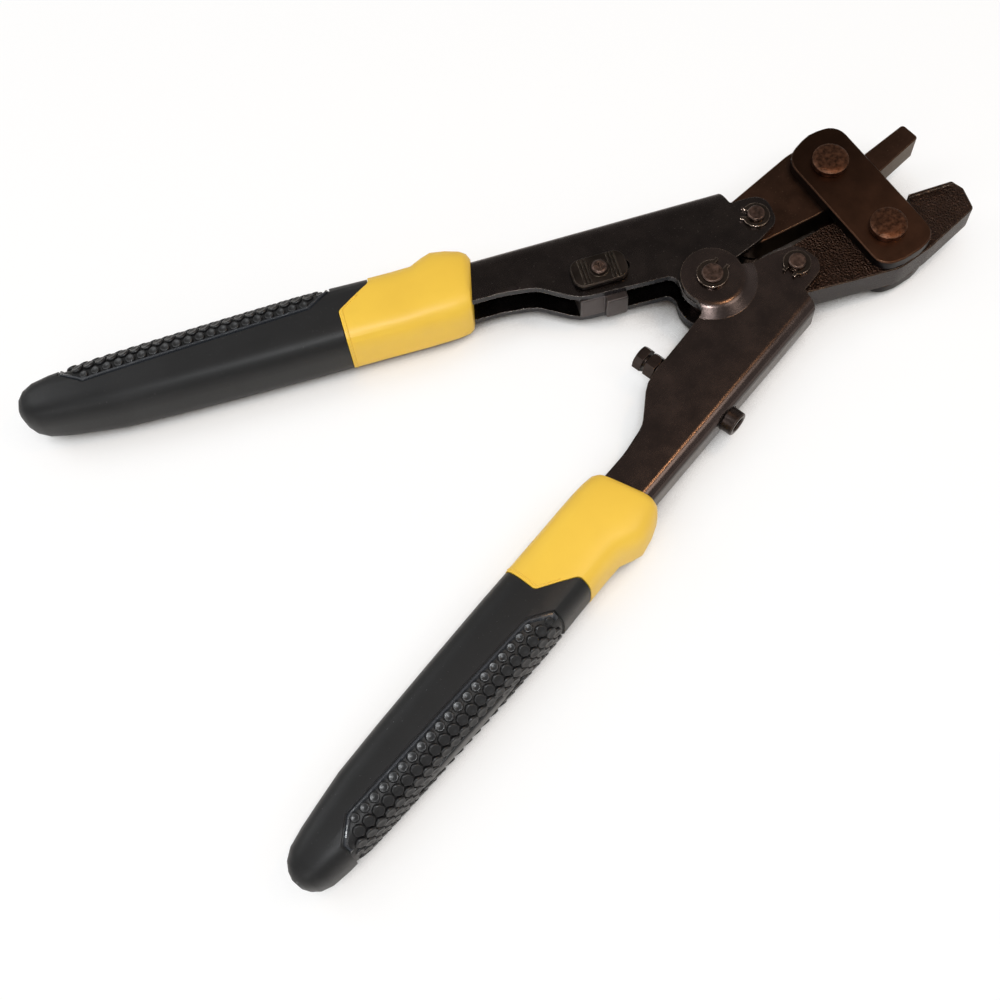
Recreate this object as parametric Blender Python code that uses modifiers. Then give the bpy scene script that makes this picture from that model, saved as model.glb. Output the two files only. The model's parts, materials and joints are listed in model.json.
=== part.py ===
# Crimp ring removal tool: compound-leverage pliers with two pressed-steel channel handles.
# Tool frame in millimetres: origin on the main pivot, +X towards the jaws, +Y towards the left
# handle, +Z up through the thickness.  The photographed, open pose is modelled.
# Each handle has its own frame: x towards the jaws, y outwards to the spine, z up.

import math

import bmesh
import bpy
import numpy as np
from mathutils import Matrix, Vector

MM = 0.001
NAME = "crimp_ring_removal_tool"

# clearances
GAP = 0.3                 # between pieces that touch
PIN_PLAY = 0.45           # radial play of a jaw pin in its jaw, takes up the linkage error
CUT = 5.0                 # how far a cutter stands out of what it cuts

# levels through the thickness, measured from the middle plane
JAW_HALF = 6.6
WALL = 3.2
IN_HALF = JAW_HALF + GAP              # inner face of a channel flange
OUT_HALF = IN_HALF + WALL             # outer face of a channel flange
DISC_IN = OUT_HALF + GAP              # raised pivot disc of the right handle
DISC_OUT = DISC_IN + WALL
PLATE_IN = JAW_HALF + GAP
PLATE_T = 5.5
PLATE_OUT = PLATE_IN + PLATE_T
RIVET_HEAD_IN = PLATE_OUT + GAP
RIVET_HEAD_H = 3.4
RIVET_TOP = RIVET_HEAD_IN + RIVET_HEAD_H
CLIP_T = 1.2

# linkage in the open pose, tool frame
OPEN_HALF_DEG = 16.94                 # each handle to the centre line
UPPER_JAW_PIVOT = (75.84, 17.08)      # on the link plates
LOWER_JAW_PIVOT = (75.85, -22.85)
JAW_PIN = (28.4, 23.8)                # handle frame, same on both handles

# pins and rivets
PIVOT_R = 4.7
PIVOT_GROOVE_R = 3.8
PIVOT_CLIP_R = 6.8
PIVOT_END = DISC_OUT + 2.5
JAW_PIN_R = 3.8
JAW_PIN_GROOVE_R = 2.9
JAW_CLIP_R = 6.0
JAW_PIN_END = OUT_HALF + 3.3
CLIP_OPEN_DEG = 62.0
PIVOT_CLIP_TURN = 18.0                # where each clip's mouth points, tool frame
LEFT_CLIP_TURN = 138.0
RIGHT_CLIP_TURN = 200.0
SPACER_R = 8.0
RIVET_R = 5.4
RIVET_HEAD_R = 7.9

# channel handle, handle frame
SPINE_Y = 42.2
BEND_R = 5.5
NECK_Y = 21.2
WAIST_Y = 8.4
LIP_Y = 6.9
TAIL_X = -215.0
LOBE_R = 13.8
DISC_R = 13.5
SKIRT_TOP_R = 14.2
SKIRT_FOOT_R = 19.6
SKIRT_IN_FOOT_R = SKIRT_FOOT_R - 1.3  # the pressed wall thins on the slope
SHOULDER_R = 6.0                      # rounded edge between the disc and its skirt
HANDLE_OUTLINE = (                    # x, y, corner radius
    (TAIL_X, NECK_Y, 0.0), (-87.0, NECK_Y, 30.0), (-72.5, 19.2, 12.0), (-56.0, WAIST_Y, 16.0),
    (-15.0, LIP_Y, 4.0), (-12.8, 0.0, 0.0), (0.0, 0.0, 0.0), (10.7, 6.0, 0.0),
    (26.0, 12.2, 14.0), (36.3, 18.5, 6.0), (36.3, 33.6, 7.0), (20.2, 33.7, 1.2),
    (17.4, SPINE_Y, 1.6), (TAIL_X, SPINE_Y, 0.0))

# adjustable stop on the right handle, axis along y in the handle frame
STOP_X = -43.8
HEX_AF = 10.0
HEAD_Y = (-4.6, -0.4)
NUT_Y = (1.0, 6.0)
BOLT_R = 3.0
BOLT_END_Y = 41.0
SLEEVE_R = 5.5
SLEEVE_SHOULDER_R = IN_HALF - GAP
SLEEVE_SHOULDER_T = 4.0
SLEEVE_CHAMFER = 2.4                  # keeps the shoulder clear of the inside bend
SLEEVE_END_Y = 47.5

# depth selector on the left handle
BUTTON_X, BUTTON_Y = -44.5, 18.2
BUTTON_L, BUTTON_W, BUTTON_H = 24.5, 14.2, 3.6
RIB_X = (4.9, 6.4, 7.9)               # ribs each side of the screw boss
RIB_W = (1.1, 0.5)                    # at the foot and at the crest
RIB_H = 0.8
BOSS_R = 4.3
BOSS_H = 0.5
SHANK_R = 2.9
SELECTOR_TRAVEL = 10.5
SCREW_R = 1.5
SCREW_HEAD_R = 3.4
SCREW_HEAD_H = 1.2
SCREW_DEPTH = 3.0                     # below the middle plane
BUTTON_CORNER_R = 5.0
STEP_FACE_Y = 4.6                     # deep step, faces the stop bolt
ANVIL_FACE_Y = 7.8
BLOCK_TOP_Y = 29.0
BLOCK_X = (-55.8, -35.4)
STEP_X = -45.0

# upper and lower jaw outlines, tool frame
UPPER_JAW = (
    (24.4, 4.7, 8.0), (60.0, 1.2, 30.0), (95.8, 3.8, 12.0), (119.2, 8.1, 1.6),
    (118.0, 17.3, 1.6), (90.6, 14.2, 3.0), (89.0, 27.5, 9.0), (78.0, 33.3, 9.0),
    (66.0, 33.6, 12.0), (28.6, 27.6, 3.5), (24.4, 18.0, 6.0))
LOWER_JAW = (
    (24.4, -24.0, 5.0), (29.0, -26.2, 6.0), (54.0, -34.5, 20.0), (71.0, -40.0, 9.0),
    (87.2, -39.2, 20.0), (115.2, -34.3, 2.2), (118.2, -23.8, 1.6), (116.5, -18.0, 1.2),
    (96.7, -12.7, 0.6), (94.9, -17.0, 1.5), (86.0, -14.6, 8.0), (60.0, -4.6, 20.0),
    (24.4, -4.6, 8.0))
JAW_EDGE = 0.4
GROUND_DEPTH = 0.7                    # shallow ground ramp beside the mouth edge of the lower jaw
GROUND_WIDTH = 6.5
MOUTH_EDGE = ((96.7, -12.7), (116.5, -18.0))   # flat mouth face of the lower jaw

# link plates, tool frame
LINK_PLATE = (
    (61.6, -37.4, 8.0), (76.5, -40.2, 22.0), (91.0, -37.2, 8.0),
    (91.0, 31.4, 8.0), (77.5, 34.6, 16.0), (61.6, 29.8, 10.0))
PLATE_EDGE = 0.5

# sleeves over the handle tails: x, outer edge y, inner edge y, half thickness, squareness
COLLAR_FRONT_X = -96.0
COLLAR_LEAN = 5.5                     # the inner side starts this far behind the outer side
COLLAR_LEAN_END = -122.0
COLLAR_STATIONS = (
    (-95.2, 43.2, 19.6, 11.8, 4.0), (-96.4, 45.7, 17.3, 13.8, 3.8),
    (-99.0, 47.7, 16.0, 15.0, 3.6), (-105.0, 49.8, 15.3, 15.6, 3.5),
    (-111.5, 51.0, 15.1, 15.8, 3.5), (-116.0, 49.4, 15.1, 15.8, 3.5),
    (-121.5, 46.8, 15.1, 15.7, 3.5), (-130.0, 46.7, 15.2, 15.6, 3.5),
    (-157.5, 47.2, 15.3, 15.3, 3.5))
GRIP_STATIONS = (
    (-137.0, 46.6, 15.8, 14.8, 3.4), (-159.0, 47.2, 15.5, 15.2, 3.4),
    (-172.0, 47.3, 15.5, 15.3, 3.4), (-205.0, 46.6, 15.9, 15.2, 3.3),
    (-235.0, 45.7, 16.5, 15.0, 3.3), (-258.0, 44.9, 17.3, 14.7, 3.2),
    (-272.0, 44.2, 19.0, 14.2, 3.1), (-282.0, 43.6, 20.3, 13.6, 3.0),
    (-290.0, 42.5, 21.8, 12.5, 2.8), (-294.6, 40.5, 24.1, 10.8, 2.6),
    (-297.2, 37.8, 27.0, 8.2, 2.4), (-298.6, 34.8, 30.0, 4.4, 2.2))
RING_STEPS = 28
SPLIT_LINE = (                        # collar in front, grip behind; x, y, corner radius
    (-156.5, -20.0, 0.0), (-156.5, 31.0, 2.5), (-141.0, 41.0, 3.0), (-139.6, 70.0, 0.0))
PANEL_OUTLINE = (                     # recessed tread panel on the outside of the grip
    (-157.8, 70.0, 0.0), (-157.8, 42.0, 0.0), (-168.0, 35.4, 1.5),
    (-268.0, 31.8, 1.5), (-278.0, 38.4, 0.0), (-278.0, 70.0, 0.0))
PANEL_DEPTH = 0.9
ARC_STEP_DEG = 15.0


# scene, frames and materials

def clear_scene():
    for ob in list(bpy.data.objects):
        bpy.data.objects.remove(ob, do_unlink=True)


def collection(name):
    col = bpy.data.collections.new(name)
    bpy.context.scene.collection.children.link(col)
    return col


def frame(name, xy, turn_deg=0.0, parent=None):
    """Empty on a joint axis; the pieces that turn with it are its children."""
    e = bpy.data.objects.new(name, None)
    e.empty_display_size = 0.01
    e.location = (xy[0] * MM, xy[1] * MM, 0.0)
    e.rotation_euler = (0.0, 0.0, math.radians(turn_deg))
    e.parent = parent
    PARTS.objects.link(e)
    return e


def material(name, colour, rough, metal):
    m = bpy.data.materials.new(name)
    m.use_nodes = True
    b = next(n for n in m.node_tree.nodes if n.type == "BSDF_PRINCIPLED")
    b.inputs["Base Color"].default_value = (*colour, 1.0)
    b.inputs["Roughness"].default_value = rough
    b.inputs["Metallic"].default_value = metal
    m.diffuse_color = (*colour, 1.0)
    return m


STEEL_LOOK = {
    "channel": ((0.075, 0.068, 0.062), 0.42, 0.9),
    "jaw": ((0.10, 0.080, 0.070), 0.45, 0.9),
    "cast": ((0.085, 0.072, 0.066), 0.62, 0.9),
    "link": ((0.13, 0.098, 0.078), 0.45, 0.9),
    "pin": ((0.30, 0.23, 0.19), 0.35, 1.0),
    "clip": ((0.12, 0.115, 0.11), 0.3, 1.0),
    "bolt": ((0.09, 0.09, 0.095), 0.35, 1.0),
    "button": ((0.12, 0.11, 0.10), 0.55, 0.6),
    "collar": ((0.93, 0.74, 0.27), 0.5, 0.0),
    "grip": ((0.045, 0.045, 0.048), 0.6, 0.0)}


def piece(name, mesh, parent, look, smooth=False):
    ob = bpy.data.objects.new(name, mesh)
    ob.parent = parent
    PARTS.objects.link(ob)
    if smooth:
        for p in mesh.polygons:
            p.use_smooth = True
    mesh.materials.append(material(name + "_mat", *STEEL_LOOK[look]))
    return ob


def cutter(name, mesh, parent):
    ob = bpy.data.objects.new("cut_" + name, mesh)
    ob.parent = parent
    ob.hide_render = True
    ob.display_type = "WIRE"
    CUTTERS.objects.link(ob)
    return ob


# mesh makers, all in millimetres

def rounded(corners, step_deg=ARC_STEP_DEG):
    """Polygon points from corners (x, y, radius), each corner rounded to its radius."""
    pts = []
    n = len(corners)
    for i, (x, y, r) in enumerate(corners):
        p = Vector((x, y))
        if r <= 0.0:
            pts.append((x, y))
            continue
        a = (Vector(corners[i - 1][:2]) - p).normalized()
        b = (Vector(corners[(i + 1) % n][:2]) - p).normalized()
        half = a.angle(b) / 2
        reach = r / math.tan(half)
        centre = p + (a + b).normalized() * (r / math.sin(half))
        s, e = p + a * reach - centre, p + b * reach - centre
        turn = s.angle_signed(e)
        k = max(1, round(abs(math.degrees(turn)) / step_deg))
        for j in range(k + 1):
            q = s.copy()
            q.rotate(Matrix.Rotation(-turn * j / k, 2))
            pts.append((centre.x + q.x, centre.y + q.y))
    return pts


def mirrored(pts, side):
    return [(p[0], p[1] * side) for p in pts]


def shifted(corners, origin):
    return [(c[0] - origin[0], c[1] - origin[1], *c[2:]) for c in corners]


def finish(bm, name, matrix=None):
    if matrix is not None:
        bmesh.ops.transform(bm, matrix=matrix, verts=bm.verts)
    bmesh.ops.scale(bm, vec=(MM, MM, MM), verts=bm.verts)
    bmesh.ops.recalc_face_normals(bm, faces=bm.faces)
    me = bpy.data.meshes.new(name)
    bm.to_mesh(me)
    bm.free()
    return me


def stack_mesh(name, rings, matrix=None):
    """Closed skin over rings of equal point count, with flat end faces."""
    bm = bmesh.new()
    loops = [[bm.verts.new(p) for p in ring] for ring in rings]
    for lo, hi in zip(loops, loops[1:]):
        for i in range(len(lo)):
            j = (i + 1) % len(lo)
            bm.faces.new((lo[i], lo[j], hi[j], hi[i]))
    bm.faces.new(loops[0][::-1])
    bm.faces.new(loops[-1])
    return finish(bm, name, matrix)


def prism(name, pts, z0, z1, matrix=None):
    return stack_mesh(name, [[(x, y, z) for x, y in pts] for z in (z0, z1)], matrix)


def box(name, lo, hi):
    pts = [(lo[0], lo[1]), (hi[0], lo[1]), (hi[0], hi[1]), (lo[0], hi[1])]
    return prism(name, pts, lo[2], hi[2])


def along_y(x):
    """Turns a z-axis shape so that its axis runs along y at the given x."""
    return Matrix.Translation((x, 0.0, 0.0)) @ Matrix.Rotation(math.radians(-90), 4, "X")


def lathe(name, profile, steps=32, centre=(0.0, 0.0), matrix=None):
    """Solid of revolution about z; the profile (radius, z) runs from top to bottom."""
    bm = bmesh.new()
    rings = []
    for r, z in profile:
        if r <= 0.0:
            rings.append([bm.verts.new((centre[0], centre[1], z))])
            continue
        rings.append([bm.verts.new((centre[0] + r * math.cos(2 * math.pi * k / steps),
                                    centre[1] + r * math.sin(2 * math.pi * k / steps), z))
                      for k in range(steps)])
    hollow = profile[0][0] > 0.0
    pairs = list(zip(rings, rings[1:])) + ([(rings[-1], rings[0])] if hollow else [])
    for a, b in pairs:
        for i in range(steps):
            j = (i + 1) % steps
            if len(a) == 1:
                bm.faces.new((a[0], b[i], b[j]))
            elif len(b) == 1:
                bm.faces.new((a[i], b[0], a[j]))
            else:
                bm.faces.new((a[i], b[i], b[j], a[j]))
    return finish(bm, name, matrix)


def rod(name, r, z0, z1, centre=(0.0, 0.0), steps=28, matrix=None):
    return lathe(name, ((0.0, z1), (r, z1), (r, z0), (0.0, z0)), steps, centre, matrix)


def boolean(ob, tool, operation="DIFFERENCE"):
    m = ob.modifiers.new(tool.name, "BOOLEAN")
    m.operation = operation
    m.solver = "EXACT"
    m.object = tool
    return ob


def bevel(ob, width, segments=1, angle=35.0):
    m = ob.modifiers.new("edge", "BEVEL")
    m.width = width * MM
    m.segments = segments
    m.limit_method = "ANGLE"
    m.angle_limit = math.radians(angle)
    return ob


def ring_at(x, outer, inner, half_t, power, side, inset=0.0, lean=0.0):
    """Superellipse section of a sleeve, across the handle at x; lean tilts its inner side back."""
    mid = (outer + inner) / 2
    a, b = (outer - inner) / 2 - inset, half_t - inset
    out = []
    for k in range(RING_STEPS):
        t = 2 * math.pi * (k + 0.5) / RING_STEPS
        c, s = math.cos(t), math.sin(t)
        w = math.copysign(abs(c) ** (2 / power), c)
        out.append((x - lean * (1 - w) / 2, side * (mid + a * w),
                    b * math.copysign(abs(s) ** (2 / power), s)))
    return out


def sleeve(name, stations, side, inset=0.0, lean=0.0, lean_end=0.0):
    rings = []
    for s in stations:
        fade = max(0.0, (s[0] - lean_end) / (stations[0][0] - lean_end))
        rings.append(ring_at(*s, side, inset, lean * fade))
    return stack_mesh(name, rings)


# handles

def channel_hull():
    """Cross section (y, z) of the pressed channel, filled, with its two bend radii."""
    return rounded(((-60.0, -OUT_HALF, 0.0), (SPINE_Y, -OUT_HALF, BEND_R),
                    (SPINE_Y, OUT_HALF, BEND_R), (-60.0, OUT_HALF, 0.0)), 18.0)


def channel_hollow():
    r = BEND_R - WALL
    return rounded(((-60.0, -IN_HALF, 0.0), (SPINE_Y - WALL, -IN_HALF, r),
                    (SPINE_Y - WALL, IN_HALF, r), (-60.0, IN_HALF, 0.0)), 45.0)


def extrude_along_x(name, section, x0, x1, side):
    return stack_mesh(name, [[(x, y * side, z) for y, z in section] for x in (x0, x1)])


def dish(name, top_r, foot_r, z_top, z_foot, round_r=0.0):
    """Double cone about the pivot: the pressed step that lifts the pivot disc."""
    slope = math.atan2(z_top - z_foot, foot_r - top_r)
    r0 = top_r - round_r * math.tan(slope / 2)
    turns = [slope * k / 3 for k in range(4)] if round_r else [0.0]
    upper = [(r0 + round_r * math.sin(a), z_top - round_r * (1 - math.cos(a))) for a in turns]
    upper = [(0.0, z_top)] + upper + [(foot_r, z_foot)]
    return lathe(name, upper + [(r, -z) for r, z in reversed(upper)], 40)


def handle_channel(tag, side, parent):
    """U channel from one sheet: bent hull, cut to the flange outline, then hollowed."""
    x0, x1 = TAIL_X - CUT, 60.0
    ob = piece(tag + "_handle_channel", extrude_along_x(tag, channel_hull(), x0, x1, side),
               parent, "channel")
    tall = DISC_OUT + CUT
    outline = mirrored(rounded(HANDLE_OUTLINE), side)
    shape = cutter(tag + "_outline", prism(tag, outline, -tall, tall), parent)
    lobe_r = LOBE_R if side > 0 else DISC_R
    boolean(shape, cutter(tag + "_lobe", rod(tag, lobe_r, -tall, tall, steps=40), parent), "UNION")
    if side < 0:
        boolean(ob, cutter(tag + "_skirt", dish(tag, SKIRT_TOP_R, SKIRT_FOOT_R, DISC_OUT,
                                                OUT_HALF, SHOULDER_R), parent), "UNION")
    boolean(ob, shape, "INTERSECT")
    boolean(ob, cutter(tag + "_hollow", extrude_along_x(tag, channel_hollow(), x0 - CUT, x1 + CUT,
                                                        side), parent))
    if side < 0:
        boolean(ob, cutter(tag + "_under_disc", dish(tag, SKIRT_TOP_R, SKIRT_IN_FOOT_R, DISC_IN,
                                                     IN_HALF), parent))
    pin = (JAW_PIN[0], JAW_PIN[1] * side)
    for what, r, at in (("pivot_hole", PIVOT_R, (0.0, 0.0)), ("jaw_hole", JAW_PIN_R, pin)):
        boolean(ob, cutter(tag + "_" + what, rod(what, r + GAP, -tall, tall, at), parent))
    return ob


def right_channel(parent):
    ob = handle_channel("right", -1, parent)
    hole = rod("spine_hole", SLEEVE_R + GAP, -SPINE_Y - CUT, -SPINE_Y + WALL + CUT,
               matrix=along_y(STOP_X))
    return boolean(ob, cutter("spine_hole", hole, parent))


def slot_outline(x0, x1, y, r):
    return rounded(((x0 - r, y - r, r), (x1 + r, y - r, r), (x1 + r, y + r, r),
                    (x0 - r, y + r, r)), 22.5)


def left_channel(parent):
    ob = handle_channel("left", 1, parent)
    pts = slot_outline(BUTTON_X, BUTTON_X + SELECTOR_TRAVEL, BUTTON_Y, SHANK_R + GAP)
    return boolean(ob, cutter("slot", prism("slot", pts, 0.0, OUT_HALF + CUT), parent))


def tail_shape(tag, side, parent):
    """Channel tail grown by the clearance: the space it takes in collar and grip."""
    r = BEND_R + GAP
    o, i = OUT_HALF + GAP, IN_HALF - GAP
    y_out, y_web, y_lip = SPINE_Y + GAP, SPINE_Y - WALL - GAP, NECK_Y - GAP
    fill = BEND_R - WALL + GAP
    section = rounded(((y_lip, o, 0.0), (y_lip, i, 0.0), (y_web, i, fill), (y_web, -i, fill),
                       (y_lip, -i, 0.0), (y_lip, -o, 0.0), (y_out, -o, r), (y_out, o, r)), 30.0)
    return cutter(tag + "_tail", extrude_along_x(tag, section, TAIL_X - GAP,
                                                 COLLAR_FRONT_X + CUT, side), parent)


def split_shape(tag, side, parent, front):
    """Everything on one side of the stepped joint between collar and grip."""
    x_far, shift = (-60.0, GAP / 2) if front else (-330.0, -GAP / 2)
    line = [(x + shift, y, r) for x, y, r in SPLIT_LINE]
    pts = rounded(line + [(x_far, 70.0, 0.0), (x_far, -20.0, 0.0)])
    what = "_before_joint" if front else "_behind_joint"
    return cutter(tag + what, prism(tag, mirrored(pts, side), -30.0, 30.0), parent)


def collar(tag, side, parent, tail):
    shell = sleeve(tag, COLLAR_STATIONS, side, lean=COLLAR_LEAN, lean_end=COLLAR_LEAN_END)
    ob = piece(tag + "_collar", shell, parent, "collar", True)
    boolean(ob, split_shape(tag, side, parent, True), "INTERSECT")
    return boolean(ob, tail)


def grip(tag, side, parent, tail):
    ob = piece(tag + "_grip", sleeve(tag, GRIP_STATIONS, side), parent, "grip", True)
    boolean(ob, split_shape(tag, side, parent, False), "INTERSECT")
    core = cutter(tag + "_core", sleeve(tag, GRIP_STATIONS, side, PANEL_DEPTH), parent)
    pts = mirrored(rounded(PANEL_OUTLINE), side)
    panel = cutter(tag + "_panel", prism(tag, pts, -30.0, 30.0), parent)
    boolean(panel, core)
    boolean(ob, panel)
    return boolean(ob, tail)


# pins, clips and rivets

def grooved_pin(name, r, groove_r, end, clip_in, parent, centre=(0.0, 0.0), chamfer=0.5):
    """Round pin with a clip groove near each end."""
    g0, g1 = clip_in - GAP, clip_in + CLIP_T + GAP
    upper = ((0.0, end), (r - chamfer, end), (r, end - chamfer), (r, g1), (groove_r, g1),
             (groove_r, g0), (r, g0))
    lower = tuple((a, -z) for a, z in reversed(upper))
    return piece(name, lathe(name, upper + lower, 24, centre), parent, "pin", True)


def clip_outline(inner_r, outer_r, turn_deg):
    """E clip: open ring with a flared lip each side of its mouth."""
    half = CLIP_OPEN_DEG / 2
    arc = np.radians(np.linspace(half, 360.0 - half, 19))
    turn = math.radians(turn_deg)
    outer = [(outer_r * math.cos(a), outer_r * math.sin(a)) for a in arc]
    inner = [(inner_r * math.cos(a), inner_r * math.sin(a)) for a in arc[::-1]]
    lip_x = outer_r * 1.08
    lip_y = outer_r * math.sin(math.radians(half))
    pts = ([(lip_x, lip_y)] + outer + [(lip_x, -lip_y), (lip_x, -lip_y + 1.3)] + inner
           + [(lip_x, lip_y - 1.3)])
    c, s = math.cos(turn), math.sin(turn)
    return [(x * c - y * s, x * s + y * c) for x, y in pts]


def clips(stem, groove_r, outer_r, level, turn_deg, parent, centre=(0.0, 0.0)):
    pts = [(x + centre[0], y + centre[1])
           for x, y in clip_outline(groove_r + GAP, outer_r, turn_deg)]
    for end, sign in (("top", 1), ("bottom", -1)):
        z0, z1 = sorted((sign * level, sign * (level + CLIP_T)))
        piece(stem + "_clip_" + end, prism(stem, pts, z0, z1), parent, "clip")


def rivet(name, centre, parent):
    """Shouldered rivet with a chamfered head over each link plate."""
    c = 0.7
    upper = ((0.0, RIVET_TOP), (RIVET_HEAD_R - 2 * c, RIVET_TOP),
             (RIVET_HEAD_R, RIVET_TOP - c), (RIVET_HEAD_R, RIVET_HEAD_IN),
             (RIVET_R, RIVET_HEAD_IN))
    lower = tuple((a, -z) for a, z in reversed(upper))
    return piece(name, lathe(name, upper + lower, 30, centre), parent, "pin", True)


# jaws and link plates

def upper_jaw(parent):
    o = UPPER_JAW_PIVOT
    pts = rounded(shifted(UPPER_JAW, o))
    ob = piece("upper_jaw", prism("upper_jaw", pts, -JAW_HALF, JAW_HALF), parent, "jaw")
    bevel(ob, JAW_EDGE)
    pin = (LEFT_PIN[0] - o[0], LEFT_PIN[1] - o[1])
    for what, r, at in (("rivet_hole", RIVET_R + GAP, (0.0, 0.0)),
                        ("pin_hole", JAW_PIN_R + PIN_PLAY, pin)):
        boolean(ob, cutter("upper_" + what, rod(what, r, -JAW_HALF - CUT, JAW_HALF + CUT, at),
                           parent))
    return ob


def lower_jaw(parent):
    o = RIGHT_PIN
    pts = rounded(shifted(LOWER_JAW, o))
    ob = piece("lower_jaw", prism("lower_jaw", pts, -JAW_HALF, JAW_HALF), parent, "cast")
    bevel(ob, JAW_EDGE)
    rivet_at = (LOWER_JAW_PIVOT[0] - o[0], LOWER_JAW_PIVOT[1] - o[1])
    for what, r, at in (("rivet_hole", RIVET_R + GAP, rivet_at),
                        ("pin_hole", JAW_PIN_R + GAP, (0.0, 0.0))):
        boolean(ob, cutter("lower_" + what, rod(what, r, -JAW_HALF - CUT, JAW_HALF + CUT, at),
                           parent))
    # wedge that grinds a shallow ramp into each face along the mouth edge
    a, b = (Vector(p) - Vector(o) for p in MOUTH_EDGE)
    along = math.atan2((b - a).y, (b - a).x)
    length = (b - a).length
    slope = math.atan2(GROUND_DEPTH, GROUND_WIDTH)
    for tag, sign in (("top", 1), ("bottom", -1)):
        block = box("ramp", (-CUT / 2, -GROUND_WIDTH * 2, 0.0), (length + CUT, CUT, CUT))
        ramp = cutter("ramp_" + tag, block, parent)
        low = (a - Vector((-math.sin(along), math.cos(along))) * GROUND_WIDTH)
        turn = Matrix.Rotation(along, 4, "Z") @ Matrix.Rotation(-slope, 4, "X")
        place = Matrix.Translation((low.x * MM, low.y * MM, JAW_HALF * MM)) @ turn
        ramp.matrix_local = (Matrix.Scale(sign, 4, (0, 0, 1)) @ place)
        boolean(ob, ramp)
    return ob


def link_plates(parent):
    o = LOWER_JAW_PIVOT
    pts = rounded(shifted(LINK_PLATE, o))
    upper_at = (UPPER_JAW_PIVOT[0] - o[0], UPPER_JAW_PIVOT[1] - o[1])
    for tag, sign in (("top", 1), ("bottom", -1)):
        z0, z1 = sorted((sign * PLATE_IN, sign * PLATE_OUT))
        ob = piece("link_plate_" + tag, prism("plate", pts, z0, z1), parent, "link")
        bevel(ob, PLATE_EDGE)
        for what, at in (("lower", (0.0, 0.0)), ("upper", upper_at)):
            hole = rod("hole", RIVET_R + GAP, z0 - CUT / 2, z1 + CUT / 2, at)
            boolean(ob, cutter("plate_" + tag + "_" + what, hole, parent))
    rivet("lower_jaw_rivet", (0.0, 0.0), parent)
    rivet("upper_jaw_rivet", upper_at, parent)


# adjustable stop on the right handle, mirrored side so y runs to minus

def hexagon(af):
    r = af / math.sqrt(3.0)
    return [(r * math.cos(math.radians(60 * k)), r * math.sin(math.radians(60 * k)))
            for k in range(6)]


def stop_matrix():
    """z of the lathe frame becomes the outward direction of the right handle."""
    return Matrix.Rotation(math.radians(90), 4, "X")


def stop_bolt(parent):
    head, shank = HEAD_Y, (HEAD_Y[1], BOLT_END_Y)
    ob = piece("stop_bolt", lathe("bolt", ((0.0, shank[1]), (BOLT_R - 0.6, shank[1]),
                                           (BOLT_R, shank[1] - 0.6), (BOLT_R, head[1] - 1.0),
                                           (0.0, head[1] - 1.0)), 24, matrix=stop_matrix()),
               parent, "bolt", True)
    hexa = cutter("bolt_head", prism("head", hexagon(HEX_AF), head[0], head[1], stop_matrix()),
                  parent)
    r = HEX_AF / 2
    dome = cutter("head_cone", lathe("cone", ((0.0, head[1] + 1.0), (r + 1.6, head[1] + 1.0),
                                              (r + 1.6, head[0] + 0.9), (r - 0.3, head[0]),
                                              (0.0, head[0])), 24, matrix=stop_matrix()), parent)
    boolean(hexa, dome, "INTERSECT")
    return boolean(ob, hexa, "UNION")


def jam_nut(parent):
    ob = piece("jam_nut", prism("nut", hexagon(HEX_AF), NUT_Y[0], NUT_Y[1], stop_matrix()),
               parent, "bolt")
    r = HEX_AF / 2
    cone = lathe("cone", ((0.0, NUT_Y[1]), (r - 0.2, NUT_Y[1]), (r + 1.4, NUT_Y[1] - 0.8),
                          (r + 1.4, NUT_Y[0] + 0.8), (r - 0.2, NUT_Y[0]), (0.0, NUT_Y[0])),
                 24, matrix=stop_matrix())
    boolean(ob, cutter("nut_cone", cone, parent), "INTERSECT")
    hole = rod("hole", BOLT_R + GAP, NUT_Y[0] - CUT, NUT_Y[1] + CUT, steps=24,
               matrix=stop_matrix())
    return boolean(ob, cutter("nut_hole", hole, parent))


def adjuster_sleeve(parent):
    """Threaded sleeve through the spine with a shoulder on its inner side."""
    bore = BOLT_R + GAP
    start = NUT_Y[1] + GAP
    web = SPINE_Y - WALL - GAP
    profile = ((bore + 0.5, SLEEVE_END_Y), (SLEEVE_R - 0.5, SLEEVE_END_Y),
               (SLEEVE_R, SLEEVE_END_Y - 0.5), (SLEEVE_R, web),
               (SLEEVE_SHOULDER_R, web - SLEEVE_CHAMFER),
               (SLEEVE_SHOULDER_R, web - SLEEVE_SHOULDER_T), (SLEEVE_R, web - SLEEVE_SHOULDER_T),
               (SLEEVE_R, start), (bore, start), (bore, SLEEVE_END_Y - 0.5))
    m = stop_matrix()
    return piece("adjuster_sleeve", lathe("sleeve", profile, 24, matrix=m), parent, "bolt", True)


# depth selector on the left handle

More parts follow.
